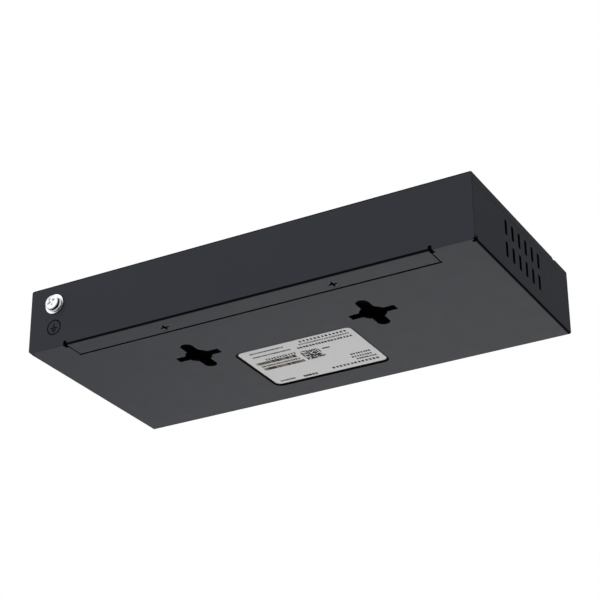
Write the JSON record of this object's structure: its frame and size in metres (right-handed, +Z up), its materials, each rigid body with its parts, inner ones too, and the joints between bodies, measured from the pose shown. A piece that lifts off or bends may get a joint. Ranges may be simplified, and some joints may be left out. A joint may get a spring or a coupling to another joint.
{
  "type": "ethernet switch",
  "caption": "Desktop ethernet switch in a folded sheet steel case with side vents, cross-shaped wall keyholes, a rear ground screw and ports on the front.",
  "frame": {"origin": "centre of the case's flat underside, at the middle of its width and of its depth", "axes": "+Z up, +X to the right seen from the ports, ports on -Y, rear wall with the ground screw on +Y"},
  "size_m": [0.19, 0.0923, 0.0275],
  "materials": {
    "case_paint": "smooth satin powder coat, bluish charcoal",
    "screw_black": "black oxide, satin",
    "label_film": "matte printed film, bare of words",
    "nickel_plate": "bright nickel plate",
    "tin_plate": "satin tin plate",
    "gold_plate": "gold plate",
    "sink_aluminium": "as extruded",
    "can_aluminium": "bright can",
    "board_laminate": "green solder mask, satin",
    "black_film": "matte insulating film",
    "black_plastic": "moulded, satin",
    "clear_plastic": "clear moulded, glossy",
    "diode_lens": "small resin lens",
    "package_epoxy": "moulded epoxy, matte",
    "pad_silicone": "soft silicone pad",
    "ferrite": "matte ferrite",
    "fuse_ceramic": "matte ceramic",
    "capacitor_ceramic": "matte ceramic"
  },
  "bodies": {
    "root": {"top_cover": "case_paint", "base_tray": "case_paint", "cover_screws": "screw_black", "rating_label": "label_film", "ground_flat_washer": "nickel_plate", "ground_lock_washer": "nickel_plate", "ground_screw": "nickel_plate", "ground_nut": "nickel_plate", "standoffs": "nickel_plate", "board_screws": "nickel_plate", "circuit_board": "board_laminate", "insulating_film": "black_film", "jack_shield_left": "tin_plate", "jack_shield_right": "tin_plate", "jack_housing_left": "black_plastic", "jack_housing_right": "black_plastic", "jack_contacts_left": "gold_plate", "jack_contacts_right": "gold_plate", "light_pipe_left": "clear_plastic", "light_pipe_right": "clear_plastic", "status_light_pipe": "clear_plastic", "light_diodes": "diode_lens", "inlet_body": "black_plastic", "inlet_pin": "tin_plate", "inlet_spring": "tin_plate", "line_transformer_1": "package_epoxy", "line_transformer_2": "package_epoxy", "line_transformer_3": "package_epoxy", "line_transformer_4": "package_epoxy", "switch_chip": "package_epoxy", "thermal_pad": "pad_silicone", "heat_sink": "sink_aluminium", "flash_chip": "package_epoxy", "power_regulator": "package_epoxy", "crystal": "tin_plate", "filter_capacitor_1": "can_aluminium", "filter_capacitor_2": "can_aluminium", "power_inductor_1": "ferrite", "power_inductor_2": "ferrite", "surge_diode": "package_epoxy", "input_fuse": "fuse_ceramic", "chip_capacitors": "capacitor_ceramic", "resistor_arrays": "package_epoxy"}
  },
  "joints": []
}
